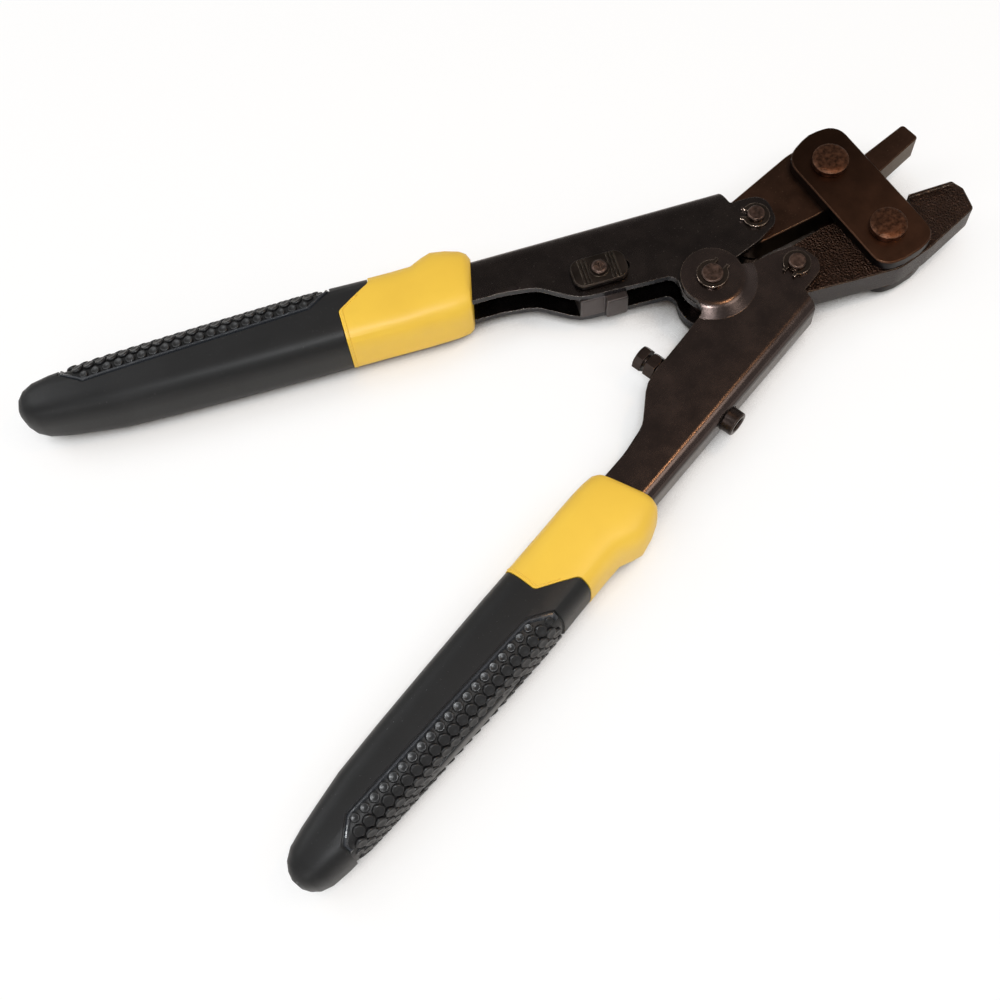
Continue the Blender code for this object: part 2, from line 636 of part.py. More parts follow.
def selector(parent):
    """Thumb button on the flange, joined through the slot to the stepped block inside."""
    z0 = OUT_HALF + GAP
    base = z0 + BUTTON_H - RIB_H
    hx, hy = BUTTON_L / 2, BUTTON_W / 2
    r = BUTTON_CORNER_R
    pts = rounded(((-hx, -hy, r), (hx, -hy, r), (hx, hy, r), (-hx, hy, r)), 15.0)
    button = piece("selector_button", prism("button", pts, z0, base), parent, "button")
    bevel(button, 0.5)
    ribs = bmesh.new()
    for x in [-x for x in RIB_X] + list(RIB_X):
        ring = []
        for width, half, z in ((RIB_W[0], hy - 0.6, base - 0.6), (RIB_W[1], hy - 1.1, base + RIB_H)):
            pts = [(x + sx * width / 2, sy * half)
                   for sx, sy in ((-1, -1), (1, -1), (1, 1), (-1, 1))]
            ring.append([ribs.verts.new((a, b, z)) for a, b in pts])
        ribs.faces.new(ring[0][::-1])
        ribs.faces.new(ring[1])
        for i in range(4):
            j = (i + 1) % 4
            ribs.faces.new((ring[0][i], ring[0][j], ring[1][j], ring[1][i]))
    boolean(button, cutter("button_ribs", finish(ribs, "ribs"), parent), "UNION")
    seat = base + BOSS_H
    boolean(button, cutter("button_boss", rod("boss", BOSS_R, base - 0.6, seat), parent), "UNION")
    shank = rod("shank", SHANK_R, JAW_HALF + GAP, z0 + 0.5, steps=24)
    boolean(button, cutter("button_shank", shank, parent), "UNION")
    bore = rod("bore", SCREW_R + GAP, 0.0, seat + CUT, steps=20)
    boolean(button, cutter("button_bore", bore, parent))

    head0 = seat + GAP
    screw = lathe("screw", ((0.0, head0 + SCREW_HEAD_H), (SCREW_HEAD_R - 0.8, head0 + SCREW_HEAD_H),
                            (SCREW_HEAD_R, head0 + SCREW_HEAD_H - 0.6), (SCREW_HEAD_R, head0),
                            (SCREW_R, head0), (SCREW_R, -SCREW_DEPTH), (0.0, -SCREW_DEPTH)), 28)
    sc = piece("selector_screw", screw, parent, "pin", True)
    top = head0 + SCREW_HEAD_H
    for k, name in enumerate(("screw_slot_a", "screw_slot_b")):
        l, w = (1.9, 0.35) if k == 0 else (0.35, 1.9)
        boolean(sc, cutter(name, box(name, (-l, -w, top - 0.7), (l, w, top + CUT)), parent))

    o = (BUTTON_X, BUTTON_Y)
    block = (
        (BLOCK_X[0] - o[0], ANVIL_FACE_Y - o[1], 1.0), (STEP_X - o[0], ANVIL_FACE_Y - o[1], 0.6),
        (STEP_X - o[0], STEP_FACE_Y - o[1], 0.8), (BLOCK_X[1] - o[0], STEP_FACE_Y - o[1], 0.8),
        (BLOCK_X[1] - o[0], BLOCK_TOP_Y - o[1], 3.0), (BLOCK_X[0] - o[0], BLOCK_TOP_Y - o[1], 3.0))
    bl = piece("selector_block", prism("block", rounded(block, 30.0), -JAW_HALF, JAW_HALF),
               parent, "bolt")
    bevel(bl, 0.4)
    hole = rod("hole", SCREW_R + GAP, -SCREW_DEPTH - GAP, JAW_HALF + CUT, steps=20)
    boolean(bl, cutter("block_hole", hole, parent))


# assembly

def to_tool(xy, side):
    """Handle frame point to the tool frame."""
    a = math.radians(-OPEN_HALF_DEG) * side
    x, y = xy[0], xy[1] * side
    return (x * math.cos(a) - y * math.sin(a), x * math.sin(a) + y * math.cos(a))


def build():
    root = frame(NAME, (0.0, 0.0))
    right = frame("right_handle_frame", (0.0, 0.0), OPEN_HALF_DEG, root)
    left = frame("left_handle_frame", (0.0, 0.0), -OPEN_HALF_DEG, root)
    lower = frame("lower_jaw_frame", RIGHT_PIN, 0.0, root)
    link = frame("link_frame", LOWER_JAW_PIVOT, 0.0, root)
    upper = frame("upper_jaw_frame", UPPER_JAW_PIVOT, 0.0, root)
    stop = frame("stop_frame", (STOP_X, 0.0), 0.0, right)
    pick = frame("selector_frame", (BUTTON_X, BUTTON_Y), 0.0, left)

    left_channel(left)
    right_channel(right)
    for tag, side, parent in (("left", 1, left), ("right", -1, right)):
        tail = tail_shape(tag, side, parent)
        collar(tag, side, parent, tail)
        grip(tag, side, parent, tail)

    grooved_pin("pivot_pin", PIVOT_R, PIVOT_GROOVE_R, PIVOT_END, DISC_OUT + GAP, right)
    clips("pivot", PIVOT_GROOVE_R, PIVOT_CLIP_R, DISC_OUT + GAP,
          PIVOT_CLIP_TURN - OPEN_HALF_DEG, right)
    spacer = ((PIVOT_R + GAP, JAW_HALF), (SPACER_R, JAW_HALF), (SPACER_R, -JAW_HALF),
              (PIVOT_R + GAP, -JAW_HALF))
    piece("pivot_spacer", lathe("spacer", spacer, 24), right, "pin", True)
    for tag, side, parent, turn in (("left", 1, left, LEFT_CLIP_TURN + OPEN_HALF_DEG),
                                    ("right", -1, right, RIGHT_CLIP_TURN - OPEN_HALF_DEG)):
        at = (JAW_PIN[0], JAW_PIN[1] * side)
        grooved_pin(tag + "_jaw_pin", JAW_PIN_R, JAW_PIN_GROOVE_R, JAW_PIN_END, OUT_HALF + GAP,
                    parent, at)
        clips(tag + "_jaw", JAW_PIN_GROOVE_R, JAW_CLIP_R, OUT_HALF + GAP, turn, parent, at)

    upper_jaw(upper)
    lower_jaw(lower)
    link_plates(link)
    stop_bolt(stop)
    jam_nut(stop)
    adjuster_sleeve(stop)
    selector(pick)
    return root


def centre_on_ground(root):
    """Moves the tool so that the middle of its lowest face is the world origin."""
    bpy.context.view_layer.update()
    deps = bpy.context.evaluated_depsgraph_get()
    lo, hi = np.full(3, 1e9), np.full(3, -1e9)
    for ob in PARTS.objects:
        if ob.type != "MESH":
            continue
        ev = ob.evaluated_get(deps)
        for v in ev.data.vertices:
            p = np.array(ob.matrix_world @ v.co)
            lo, hi = np.minimum(lo, p), np.maximum(hi, p)
    root.location = (-(lo[0] + hi[0]) / 2, -(lo[1] + hi[1]) / 2, -lo[2])
    bpy.context.view_layer.update()
    for e in PARTS.objects:
        if e.type == "EMPTY":
            x, y, z = e.matrix_world.translation
            print("frame %-22s %.5f %.5f %.5f" % (e.name, x, y, z))
    print("size", [round(float(v), 5) for v in hi - lo])


clear_scene()
PARTS = collection(NAME)
CUTTERS = collection("cutters")
CUTTERS.hide_render = True
LEFT_PIN = to_tool(JAW_PIN, 1)
RIGHT_PIN = to_tool(JAW_PIN, -1)
centre_on_ground(build())
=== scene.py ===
# Looks of the crimp ring removal tool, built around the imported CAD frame.
# Every CAD piece keeps its shape and gets its finish here. The tread of the grips, the bead round
# each collar and the stop bolt's thread are modelled here. Lengths are in millimetres until they
# become vertices; lamps are placed in metres.

import json
import math

import bmesh
import bpy
import numpy as np
from mathutils import Matrix, Vector
from mathutils.bvhtree import BVHTree

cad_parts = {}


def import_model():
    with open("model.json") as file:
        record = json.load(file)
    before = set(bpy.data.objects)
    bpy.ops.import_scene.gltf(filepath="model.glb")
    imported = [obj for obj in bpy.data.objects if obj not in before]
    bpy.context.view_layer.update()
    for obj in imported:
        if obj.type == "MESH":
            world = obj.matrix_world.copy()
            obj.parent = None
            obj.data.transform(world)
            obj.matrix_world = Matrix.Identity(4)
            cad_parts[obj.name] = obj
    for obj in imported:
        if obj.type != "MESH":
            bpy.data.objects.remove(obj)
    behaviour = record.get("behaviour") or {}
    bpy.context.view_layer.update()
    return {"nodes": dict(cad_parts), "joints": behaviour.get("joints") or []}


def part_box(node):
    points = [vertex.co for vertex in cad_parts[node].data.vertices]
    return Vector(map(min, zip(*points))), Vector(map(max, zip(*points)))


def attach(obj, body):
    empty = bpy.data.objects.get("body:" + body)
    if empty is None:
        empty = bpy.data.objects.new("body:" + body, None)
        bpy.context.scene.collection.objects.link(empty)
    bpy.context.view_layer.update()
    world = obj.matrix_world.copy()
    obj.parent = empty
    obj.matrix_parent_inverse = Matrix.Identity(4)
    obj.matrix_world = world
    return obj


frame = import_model()

MM = 0.001
PIVOT = Vector(next(j["pos_m"] for j in frame["joints"] if j["name"] == "handle_pivot"))
STOP = next(j for j in frame["joints"] if j["name"] == "jam_nut_spin")
OPEN_HALF_DEG = 16.94                 # each handle to the centre line, as in the CAD
CREASE_DEG = 32.0                     # CAD edges sharper than this stay edges
EDGE_DOT = (0.99, 0.84)               # of bevelled and true normal: no edge colour, full edge colour (rubbed and painted highlight)

# sleeves, handle frame: x towards the jaws, y outwards, z up
ALONG = Vector((1.0, 0.0, 0.0))
SLEEVE_MID_Y = 31.2                   # middle line, from which the rays find the surface
SECTION_RAYS = 144
RAY_START = 60.0                      # well outside every sleeve

# tread panel of a grip
PANEL = (                             # its edge on the flat side, open towards the spine: x, y
    (-157.8, 44.5), (-157.8, 42.0), (-168.0, 35.4), (-268.0, 31.8), (-278.0, 38.4),
    (-278.0, 42.0))
PANEL_MID = (-218.0, 45.0)
BEYOND_SPINE_Y = 70.0
RIB_GAP = 0.50                        # groove between the panel wall and its border rib
RIB_WIDTH = 1.9
RIB_PROUD = 0.15                      # rib crest above the sleeve surface
RIB_CREST = (0.3, 0.62)               # where the crest starts and ends across the rib
RIB_STEP = 2.5                        # between its sections
RIB_FOOT, RIB_ROOT = 0.1, 0.5         # its sides end above the panel, its root lies below it
WALL_OUT = 0.5                        # past the panel edge, where the sleeve's level is read
SCALE_PITCH = 5.1
SCALE_R = 2.74
SCALE_H = 1.05
SCALE_TILT_DEG = 9.0
SCALE_SIDES = 12                      # corners and middles of its six sides
SCALE_PROFILE = ((1.0, -0.25), (0.95, 0.50), (0.84, 0.96), (0.68, 0.98), (0.36, 0.74))
SCALE_MIDDLE = 0.68                   # height of the dished middle, as a share of SCALE_H
SCALE_KEEP_OFF = 4.5                  # centre of a full scale to the panel edge
SCALE_BAND = 1.6                      # nearer than that by up to this much, it gets smaller
SCALE_SMALLEST = 0.62
TREAD_REACH = 32.0                    # of its rows to either side of the spine's middle
TREAD_START = 2.0                     # first scale behind the panel's front end
LENS_X, LENS_HALF_L, LENS_HALF_W = -214.0, 30.0, 5.5         # bare pad on the spine side
LENS_RIM_L, LENS_RIM_W = 1.0, 0.6     # gap between the pad and the scales
LENS_H = 0.95
LENS_SIDES = 40
LENS_PROFILE = ((1.0, -0.2), (0.95, 0.55), (0.8, 0.9), (0.4, 1.0))

# bead round a collar
JOINT_LINE = ((-156.5, -20.0), (-156.5, 31.0), (-141.0, 41.0), (-139.6, 70.0))   # x, y
RIM_BACK = 1.5                        # bead to the joint with the grip
RIM_R, RIM_FLAT = 0.42, 0.8           # radius, and its height as a share of it
RIM_STEPS, RIM_SIDES = 120, 8
RIM_FIRST_X, RIM_TRIES = -150.0, 4    # the joint's x depends on the surface, found by repeating

THREAD_R, THREAD_DEPTH, THREAD_PITCH = 3.22, 0.35, 0.7
THREAD_Y = (-0.35, 0.95)              # along the bolt, from the jam nut's joint
THREAD_SIDES = 28

FLOOR_HALF = 4.0                      # metres

# camera, shared frame in millimetres, fitted to the photograph's perspective
CAM_TARGET = (-49.47, -30.5, 16.1)
CAM_AZ, CAM_EL, CAM_ROLL = -116.243, 67.48, -7.46
CAM_DISTANCE = 611.29
CAM_LENS = 53.55


# node trees

def node(tree, kind, attrs=None, **inputs):
    """Adds a node; attrs are its properties, inputs its sockets by name with _ for a space."""
    n = tree.nodes.new(kind)
    for key, value in (attrs or {}).items():
        setattr(n, key, value)
    for key, value in inputs.items():
        socket = n.inputs[key.replace("_", " ")]
        if isinstance(value, bpy.types.NodeSocket):
            tree.links.new(value, socket)
        else:
            socket.default_value = value
    return n


def math_node(tree, operation, a, b=0.0):
    n = tree.nodes.new("ShaderNodeMath")
    n.operation = operation
    for socket, value in zip(n.inputs, (a, b)):
        if isinstance(value, bpy.types.NodeSocket):
            tree.links.new(value, socket)
        else:
            socket.default_value = value
    return n.outputs[0]


def colour(rgb):
    return (*rgb, 1.0)


def mix(tree, fac, a, b):
    n = tree.nodes.new("ShaderNodeMix")
    n.data_type = "RGBA"
    for socket, value in ((n.inputs[0], fac), (n.inputs[6], a), (n.inputs[7], b)):
        if isinstance(value, bpy.types.NodeSocket):
            tree.links.new(value, socket)
        else:
            socket.default_value = value
    return n.outputs[2]


def remap(tree, value, lo, hi, to_lo=0.0, to_hi=1.0):
    return node(tree, "ShaderNodeMapRange", {"clamp": True}, Value=value, From_Min=lo,
                From_Max=hi, To_Min=to_lo, To_Max=to_hi).outputs[0]


def new_material(name):
    m = bpy.data.materials.new(name)
    m.use_nodes = True
    t = m.node_tree
    t.nodes.clear()
    shader = node(t, "ShaderNodeBsdfPrincipled")
    out = node(t, "ShaderNodeOutputMaterial")
    t.links.new(shader.outputs[0], out.inputs[0])
    return m, t, shader


def millimetres(tree):
    """Object coordinates in millimetres, so textures keep their size and ride on the piece."""
    coords = node(tree, "ShaderNodeTexCoord").outputs["Object"]
    return node(tree, "ShaderNodeMapping", Vector=coords, Scale=(1 / MM,) * 3).outputs[0]


def noise(tree, at, scale, detail=3.0, rough=0.55):
    return node(tree, "ShaderNodeTexNoise", Vector=at, Scale=scale, Detail=detail,
                Roughness=rough).outputs[0]


def edge_mask(tree, radius):
    """1 on rounded-over edges, from the difference between bevelled and true normal."""
    round_n = node(tree, "ShaderNodeBevel", {"samples": 6}, Radius=radius * MM).outputs[0]
    true_n = node(tree, "ShaderNodeNewGeometry").outputs["Normal"]
    dot = node(tree, "ShaderNodeVectorMath", {"operation": "DOT_PRODUCT"})
    tree.links.new(round_n, dot.inputs[0])
    tree.links.new(true_n, dot.inputs[1])
    return remap(tree, dot.outputs["Value"], *EDGE_DOT), round_n


def upward(tree, lo, hi):
    """1 where the surface faces straight up or down, 0 on its sides."""
    normal = node(tree, "ShaderNodeNewGeometry").outputs["Normal"]
    z = node(tree, "ShaderNodeSeparateXYZ", Vector=normal).outputs[2]
    return remap(tree, math_node(tree, "ABSOLUTE", z), lo, hi)


def steel(name, face, side, edge, rough, blotch, bump=0.12, grain=2.2, pits=0.0, wear_and_glint=0.5,
          edge_r=0.35, painted_fade=None):
    """Oxidised steel: faces and sides in two tones, the side tone painted light; rubbed edges
    lightened, partly as painted highlight; fine grain and blotches.

    pits adds a cast texture to the flat faces. fade is y from, y to and the factor at each: a
    painted reflection, brighter towards one end.
    """
    m, t, s = new_material(name)
    at = millimetres(t)
    cloud = noise(t, at, 0.10, 5.0, 0.6)
    fine = noise(t, at, grain, 4.0, 0.6)
    # painted light: the sides take their own colour by facing, a painted reflection where lighter
    # than the faces, painted shade where darker
    base = mix(t, upward(t, 0.25, 0.62), colour(side), colour(face))
    shade = remap(t, cloud, 0.3, 0.7, 1.0 - blotch, 1.0 + blotch)
    # painted reflection: the fade brightens the piece towards one end along y
    if painted_fade:
        y = node(t, "ShaderNodeSeparateXYZ", Vector=at).outputs[1]
        shade = math_node(t, "MULTIPLY", shade, remap(t, y, *painted_fade))
    base = node(t, "ShaderNodeVectorMath", {"operation": "SCALE"}, Vector=base,
                Scale=shade).outputs[0]
    # edge colour: partly rubbed edges, partly a painted highlight along them
    mask, round_n = edge_mask(t, edge_r)
    rub = remap(t, noise(t, at, 0.55, 4.0), 0.38, 0.62, 0.25, 1.0)
    worn_and_glint = math_node(t, "MULTIPLY", math_node(t, "MULTIPLY", mask, rub), wear_and_glint)
    speck = remap(t, noise(t, at, 1.4, 1.0), 0.70, 0.76)
    worn_and_glint = math_node(t, "MAXIMUM", worn_and_glint, math_node(t, "MULTIPLY", speck, 0.22 * wear_and_glint))
    t.links.new(mix(t, worn_and_glint, base, colour(edge)), s.inputs["Base Color"])
    s.inputs["Metallic"].default_value = 1.0
    spread = 0.04 + 0.12 * blotch
    uneven = math_node(t, "ADD", remap(t, cloud, 0.25, 0.75, rough - spread, rough + spread),
                       remap(t, fine, 0.3, 0.7, -0.04, 0.05))
    t.links.new(uneven, s.inputs["Roughness"])
    height = fine
    if pits:
        cells = node(t, "ShaderNodeTexVoronoi", {"feature": "SMOOTH_F1"}, Vector=at, Scale=1.15,
                     Smoothness=0.35).outputs["Distance"]
        cast = math_node(t, "MULTIPLY", cells, upward(t, 0.97, 0.995))
        height = math_node(t, "ADD", height, math_node(t, "MULTIPLY", cast, pits))
    raised = node(t, "ShaderNodeBump", Height=height, Strength=bump, Distance=0.25 * MM,
                  Normal=round_n).outputs[0]
    t.links.new(raised, s.inputs["Normal"])
    return m


def turned_steel(name, face, edge, centre):
    """Turned and staked head: faint rings about its own axis and a mottled brown face."""
    m, t, s = new_material(name)
    at = millimetres(t)
    off = node(t, "ShaderNodeVectorMath", {"operation": "SUBTRACT"}, Vector=at)
    off.inputs[1].default_value = tuple(c / MM for c in centre)
    flat = node(t, "ShaderNodeVectorMath", {"operation": "MULTIPLY"}, Vector=off.outputs[0])
    flat.inputs[1].default_value = (1.0, 1.0, 0.0)
    radius = node(t, "ShaderNodeVectorMath", {"operation": "LENGTH"},
                  Vector=flat.outputs[0]).outputs["Value"]
    rings = math_node(t, "SINE", math_node(t, "MULTIPLY", radius, 9.0))
    cloud = noise(t, at, 0.5, 5.0, 0.65)
    fine = noise(t, at, 3.2, 3.0)
    dark = tuple(c * 0.35 for c in face)
    base = mix(t, remap(t, cloud, 0.36, 0.64), colour(dark), colour(face))
    mask, round_n = edge_mask(t, 0.3)
    t.links.new(mix(t, math_node(t, "MULTIPLY", mask, 0.5), base, colour(edge)),
                s.inputs["Base Color"])
    s.inputs["Metallic"].default_value = 1.0
    t.links.new(remap(t, cloud, 0.3, 0.7, 0.26, 0.50), s.inputs["Roughness"])
    height = math_node(t, "ADD", math_node(t, "MULTIPLY", rings, 0.10),
                       math_node(t, "ADD", fine, math_node(t, "MULTIPLY", cloud, 1.6)))
    raised = node(t, "ShaderNodeBump", Height=height, Strength=0.30, Distance=0.22 * MM,
                  Normal=round_n).outputs[0]
    t.links.new(raised, s.inputs["Normal"])
    return m


def plastic(name, rgb, deep, rough, grain, bump, spec=0.5, dust=0.0, sheen=0.0):
    """Moulded plastic or rubber: slight tone drift, grained skin and a little dust."""
    m, t, s = new_material(name)
    at = millimetres(t)
    drift = noise(t, at, 0.035, 4.0, 0.5)
    base = mix(t, remap(t, drift, 0.35, 0.65), colour(deep), colour(rgb))
    if dust:
        fleck = remap(t, noise(t, at, 1.9, 2.0, 0.7), 0.735, 0.765)
        base = mix(t, math_node(t, "MULTIPLY", fleck, dust), base, (0.42, 0.42, 0.43, 1.0))
    t.links.new(base, s.inputs["Base Color"])
    skin = noise(t, at, grain, 4.0, 0.6)
    t.links.new(remap(t, skin, 0.3, 0.7, rough - 0.05, rough + 0.07), s.inputs["Roughness"])
    s.inputs["Specular IOR Level"].default_value = spec
    s.inputs["Sheen Weight"].default_value = sheen
    round_n = node(t, "ShaderNodeBevel", {"samples": 6}, Radius=0.3 * MM).outputs[0]
    raised = node(t, "ShaderNodeBump", Height=skin, Strength=bump, Distance=0.2 * MM,
                  Normal=round_n).outputs[0]
    t.links.new(raised, s.inputs["Normal"])
    return m


def soft_shading():
    """Node group that shades CAD facets smooth and keeps real edges; the mesh stays as it is."""
    g = bpy.data.node_groups.new("soft_shading", "GeometryNodeTree")
    for way in ("INPUT", "OUTPUT"):
        g.interface.new_socket("Geometry", in_out=way, socket_type="NodeSocketGeometry")
    start, end = g.nodes.new("NodeGroupInput"), g.nodes.new("NodeGroupOutput")
    weld = node(g, "GeometryNodeMergeByDistance", Geometry=start.outputs[0], Distance=0.002 * MM)
    bare = node(g, "GeometryNodeRemoveAttribute", Geometry=weld.outputs[0], Name="custom_normal")
    faces = node(g, "GeometryNodeSetShadeSmooth", {"domain": "FACE"}, Geometry=bare.outputs[0])
    turn = node(g, "GeometryNodeInputMeshEdgeAngle").outputs[0]
    sharp = node(g, "FunctionNodeCompare", {"data_type": "FLOAT", "operation": "GREATER_THAN"},
                 A=turn, B=math.radians(CREASE_DEG)).outputs[0]
    edges = node(g, "GeometryNodeSetShadeSmooth", {"domain": "EDGE"}, Geometry=faces.outputs[0],
                 Selection=sharp, Shade_Smooth=False)
    g.links.new(edges.outputs[0], end.inputs[0])
    return g


def dress():
    """Gives every CAD node its finish."""
    soft = soft_shading()
    # the second colour of each steel finish is painted light on its sides: lighter as painted
    # reflection (jaws, selector block, clip), darker as painted shade (channels, link plates,
    # bolt, button)
    sheet = steel("oxide_sheet", (0.053, 0.043, 0.040), (0.042, 0.042, 0.046),
                  (0.62, 0.55, 0.50), 0.27, 0.12, bump=0.08, wear_and_glint=0.65)
    # lit copy of the sheet for the right handle: its lighter, warmer faces are a painted sheen
    sheet_painted_sheen = steel("oxide_sheet_painted_sheen", (0.086, 0.064, 0.058), (0.036, 0.030, 0.029),
                       (0.62, 0.44, 0.30), 0.25, 0.12, bump=0.08, wear_and_glint=0.55)
    jaw = steel("oxide_jaw", (0.074, 0.039, 0.026), (0.095, 0.070, 0.047), (0.50, 0.34, 0.22),
                0.36, 0.2, bump=0.14, wear_and_glint=0.8)
    cast = steel("forged_jaw", (0.036, 0.020, 0.014), (0.048, 0.044, 0.045), (0.62, 0.47, 0.36),
                 0.34, 0.3, grain=2.6, bump=0.95, pits=2.9, wear_and_glint=0.95)
    # link plates: the near-black sides are painted shade, the fade a painted reflection brighter
    # at low y
    link = steel("oxide_link", (0.070, 0.034, 0.021), (0.013, 0.012, 0.013), (0.26, 0.17, 0.10),
                 0.36, 0.12, bump=0.14, wear_and_glint=0.45, painted_fade=(-25.0, 25.0, 1.28, 0.55))
    black = steel("black_bolt", (0.060, 0.045, 0.040), (0.055, 0.048, 0.046),
                  (0.36, 0.29, 0.24), 0.30, 0.3)
    block = steel("selector_steel", (0.10, 0.088, 0.088), (0.115, 0.102, 0.102),
                  (0.34, 0.29, 0.25), 0.46, 0.2, bump=0.3)
    button = steel("button_metal", (0.045, 0.036, 0.031), (0.030, 0.026, 0.025),
                   (0.30, 0.24, 0.18), 0.36, 0.35, grain=3.0, bump=0.35, wear_and_glint=0.8, edge_r=0.25)
    # spring clips: their bright outline is partly rubbed edges, partly a painted highlight
    clip = steel("clip_spring", (0.075, 0.056, 0.045), (0.12, 0.10, 0.09), (0.72, 0.56, 0.45),
                 0.22, 0.2, bump=0.06, wear_and_glint=1.0, edge_r=0.45)
    yellow = plastic("yellow_plastic", (0.90, 0.585, 0.062), (0.86, 0.55, 0.058), 0.42,
                     grain=2.4, bump=0.08)
    rubber = plastic("grip_rubber", (0.0150, 0.0152, 0.0160), (0.0115, 0.0117, 0.0122), 0.44,
                     spec=0.28, grain=2.2, bump=0.16, dust=0.5, sheen=0.02)
    looks = {                         # by part of the node's name
        "right_handle_channel": sheet_painted_sheen, "left_handle_channel": sheet,
        "upper_jaw": jaw, "lower_jaw": cast, "link_plate": link,
        "stop_bolt": black, "jam_nut": black, "adjuster_sleeve": black,
        "selector_block": block, "selector_button": button, "_clip_": clip,
        "collar": yellow, "_grip": rubber}
    rivet_face, pin_face = (0.155, 0.072, 0.043), (0.165, 0.112, 0.094)
    turned_edge = (0.46, 0.30, 0.21)
    for name, ob in frame["nodes"].items():
        if name.endswith(("_pin", "_rivet", "_screw", "_spacer")):
            lo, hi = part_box(name)
            face = rivet_face if "rivet" in name else pin_face
            look = turned_steel("turned_" + name, face, turned_edge, (lo + hi) / 2)
        else:
            look = next(m for key, m in looks.items() if key in name)
        for s in ob.material_slots:
            s.material = look
        ob.modifiers.new("soft_shading", "NODES").node_group = soft
        even = ob.modifiers.new("even_faces", "WEIGHTED_NORMAL")
        even.keep_sharp, even.weight = True, 80
    return looks


# handle frame and its surfaces

def handle_matrix(side):
    """Handle frame, side +1 left or -1 right, to the shared frame; takes millimetres."""
    turn = Matrix.Rotation(math.radians(-OPEN_HALF_DEG * side), 4, "Z")
    return Matrix.Translation(PIVOT) @ turn @ Matrix.Diagonal((MM, side * MM, MM, 1.0))


class Skin:
    """Outside of a sleeve, found by rays towards its middle line."""

    def __init__(self, name, side):
        mesh = frame["nodes"][name].data
        back = handle_matrix(side).inverted()
        verts = [back @ v.co for v in mesh.vertices]
        mesh.calc_loop_triangles()
        self.tree = BVHTree.FromPolygons(verts, [tuple(t.vertices) for t in mesh.loop_triangles])
        self.cache = {}

    def hit(self, x, angle):
        out = Vector((0.0, math.cos(angle), math.sin(angle)))
        mid = Vector((x, SLEEVE_MID_Y, 0.0))
        return self.tree.ray_cast(mid + out * RAY_START, -out)[0]

    def section(self, x):
        """Points around the sleeve at x, once round from its inner middle."""
        key = round(x, 2)
        if key not in self.cache:
            angles = np.linspace(-math.pi, math.pi, SECTION_RAYS + 1)[:-1]
            self.cache[key] = [p for p in (self.hit(x, a) for a in angles) if p is not None]
        return self.cache[key]

    def on_side(self, x, y, top):
        """Surface point of the upper or lower flat side at x and y."""
        half = [p for p in self.section(x) if (p.z > 0.0) == top]
        half.sort(key=lambda p: p.y)
        ys = [p.y for p in half]
        return Vector((x, y, float(np.interp(y, ys, [p.z for p in half]))))

    def from_spine(self, x, s):
        """Surface point at arc length s from the spine's middle, s positive over the top."""
        ring = self.section(x)
        k = max(range(len(ring)), key=lambda i: ring[i].y - abs(ring[i].z) * 0.01)
        step, i, left = (1 if s >= 0 else -1), k, abs(s)
        while True:
            a, b = ring[i], ring[(i + step) % len(ring)]
            d = (b - a).length
            if left <= d or d == 0.0:
                return a.lerp(b, left / d if d else 0.0)
            left, i = left - d, (i + step) % len(ring)

    def normal(self, p):
        n = self.tree.find_nearest(p)[1]
        away = Vector((0.0, p.y - SLEEVE_MID_Y, p.z))
        return n if n.dot(away) > 0 else -n


def loft(bm, rings, closed=False):
    """Four-sided faces between neighbouring rings; closed joins the last ring to the first."""
    count = len(rings[0])
    for lo, hi in zip(rings, rings[1:] + (rings[:1] if closed else [])):
        for i in range(count):
            j = (i + 1) % count
            bm.faces.new((lo[i], lo[j], hi[j], hi[i]))


def new_piece(name, bm, place, body, look, smooth=True):
    """Turns geometry in millimetres into a piece that rides on a body."""
    bmesh.ops.recalc_face_normals(bm, faces=bm.faces)
    for f in bm.faces:
        f.smooth = smooth
    mesh = bpy.data.meshes.new(name)
    bm.to_mesh(mesh)
    bm.free()
    mesh.transform(place)
    if place.determinant() < 0:       # the right handle's frame is mirrored
        mesh.flip_normals()
    mesh.materials.append(look)
    ob = bpy.data.objects.new(name, mesh)
    bpy.context.scene.collection.objects.link(ob)
    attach(ob, body)


def inside(x, y, poly):
    """How deep a point lies inside the panel edge; negative outside."""
    best, odd = math.inf, False
    closed = list(poly) + [(poly[-1][0], BEYOND_SPINE_Y), (poly[0][0], BEYOND_SPINE_Y)]
    for (ax, ay), (bx, by) in zip(closed, closed[1:] + closed[:1]):
        if (ay > y) != (by > y) and x < (bx - ax) * (y - ay) / (by - ay) + ax:
            odd = not odd
        d = Vector((bx - ax, by - ay))
        u = max(0.0, min(1.0, Vector((x - ax, y - ay)).dot(d) / d.length_squared))
        best = min(best, math.hypot(ax + d.x * u - x, ay + d.y * u - y))
    return best if odd else -best


def add_scale(bm, centre, normal, size):
    """One tread scale: a low six-sided pad with a dished middle, its front edge proud."""
    along = (ALONG - normal * ALONG.dot(normal)).normalized()
    across = normal.cross(along)
    tilt = math.tan(math.radians(SCALE_TILT_DEG))
    rings = []
    for share, rise in SCALE_PROFILE:
        ring = []
        for k in range(SCALE_SIDES):
            a = 2 * math.pi * (k + 0.5) / SCALE_SIDES
            hexed = 1.0 - 0.10 * (1 - math.cos(6 * a)) / 2
            r = SCALE_R * size * share * hexed
            u, v = r * math.cos(a), r * math.sin(a)
            lift = SCALE_H * size * rise + (u * tilt if rise > 0 else 0.0)
            ring.append(bm.verts.new(centre + along * u + across * v + normal * lift))
        rings.append(ring)
    middle = bm.verts.new(centre + normal * SCALE_H * size * SCALE_MIDDLE)
    loft(bm, rings)
    for i in range(SCALE_SIDES):
        bm.faces.new((rings[-1][i], rings[-1][(i + 1) % SCALE_SIDES], middle))
    bm.faces.new(rings[0][::-1])


